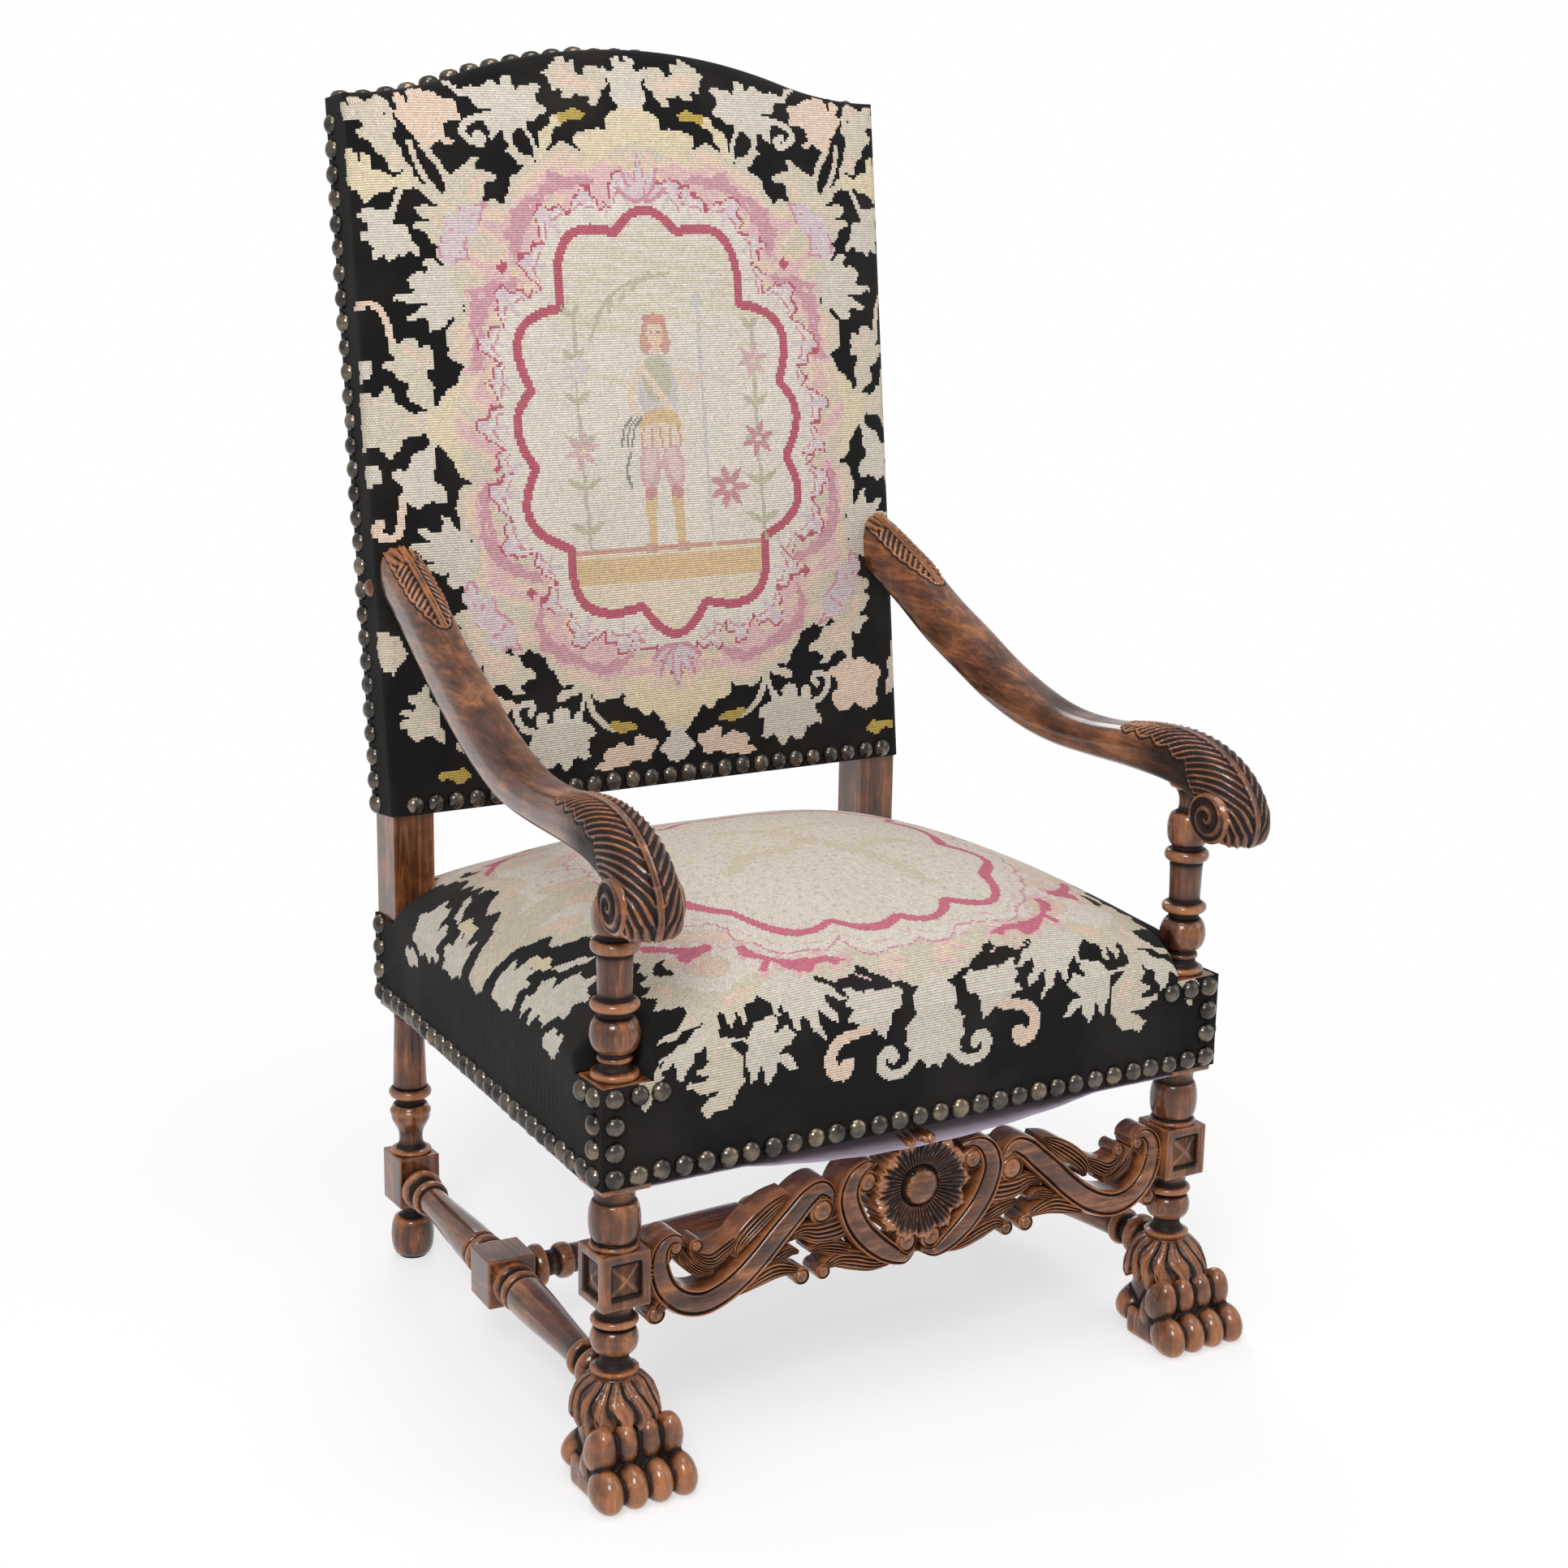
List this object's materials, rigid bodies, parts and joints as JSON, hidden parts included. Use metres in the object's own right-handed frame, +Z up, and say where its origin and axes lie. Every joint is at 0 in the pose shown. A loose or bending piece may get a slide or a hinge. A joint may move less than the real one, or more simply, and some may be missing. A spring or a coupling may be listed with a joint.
{
  "type": "needlepoint armchair",
  "caption": "High-backed period armchair with a turned and carved wooden frame, scrolled arms, paw feet, and a padded seat and back in nailed floral needlepoint.",
  "frame": {"origin": "on the floor, at the centre of the overall footprint", "axes": "+Z up, the sitter faces -Y, +X to the right of someone facing the chair"},
  "size_m": [0.7246, 0.7392, 1.2473],
  "materials": {
    "walnut": "waxed, worn on the high spots",
    "needlepoint": "wool needlepoint, matte",
    "webbing": "jute webbing",
    "hessian": "open plain weave",
    "stuffing": "horsehair and fibre",
    "spring_steel": "bright drawn wire",
    "dust_cloth": "thin cotton, faded",
    "outside_cloth": "plain black wool",
    "nail_bronze": "dark bronzed, rubbed",
    "tack_steel": "blued"
  },
  "bodies": {
    "root": {"left_front_post": "walnut", "right_front_post": "walnut", "left_paw_foot": "walnut", "right_paw_foot": "walnut", "left_rear_post": "walnut", "right_rear_post": "walnut", "left_arm": "walnut", "right_arm": "walnut", "front_seat_rail": "walnut", "rear_seat_rail": "walnut", "left_seat_rail": "walnut", "right_seat_rail": "walnut", "seat_corner_blocks": "walnut", "crest_rail": "walnut", "lower_back_rail": "walnut", "left_side_stretcher": "walnut", "right_side_stretcher": "walnut", "cross_stretcher": "walnut", "front_stretcher": "walnut", "arm_bolt_caps": "walnut", "seat_cover": "needlepoint", "back_cover": "needlepoint", "seat_webbing_across": "webbing", "seat_webbing_lengthwise": "webbing", "back_webbing_upright": "webbing", "back_webbing_across": "webbing", "seat_hessian": "hessian", "back_hessian": "hessian", "seat_stuffing": "stuffing", "back_stuffing": "stuffing", "seat_springs": "spring_steel", "dust_cover": "dust_cloth", "outside_back_cloth": "outside_cloth", "seat_front_nails": "nail_bronze", "seat_rear_nails": "nail_bronze", "seat_left_nails": "nail_bronze", "seat_right_nails": "nail_bronze", "post_nails": "nail_bronze", "back_low_nails": "nail_bronze", "back_left_nails": "nail_bronze", "back_right_nails": "nail_bronze", "back_top_nails": "nail_bronze", "dust_cover_tacks": "tack_steel"}
  },
  "joints": []
}
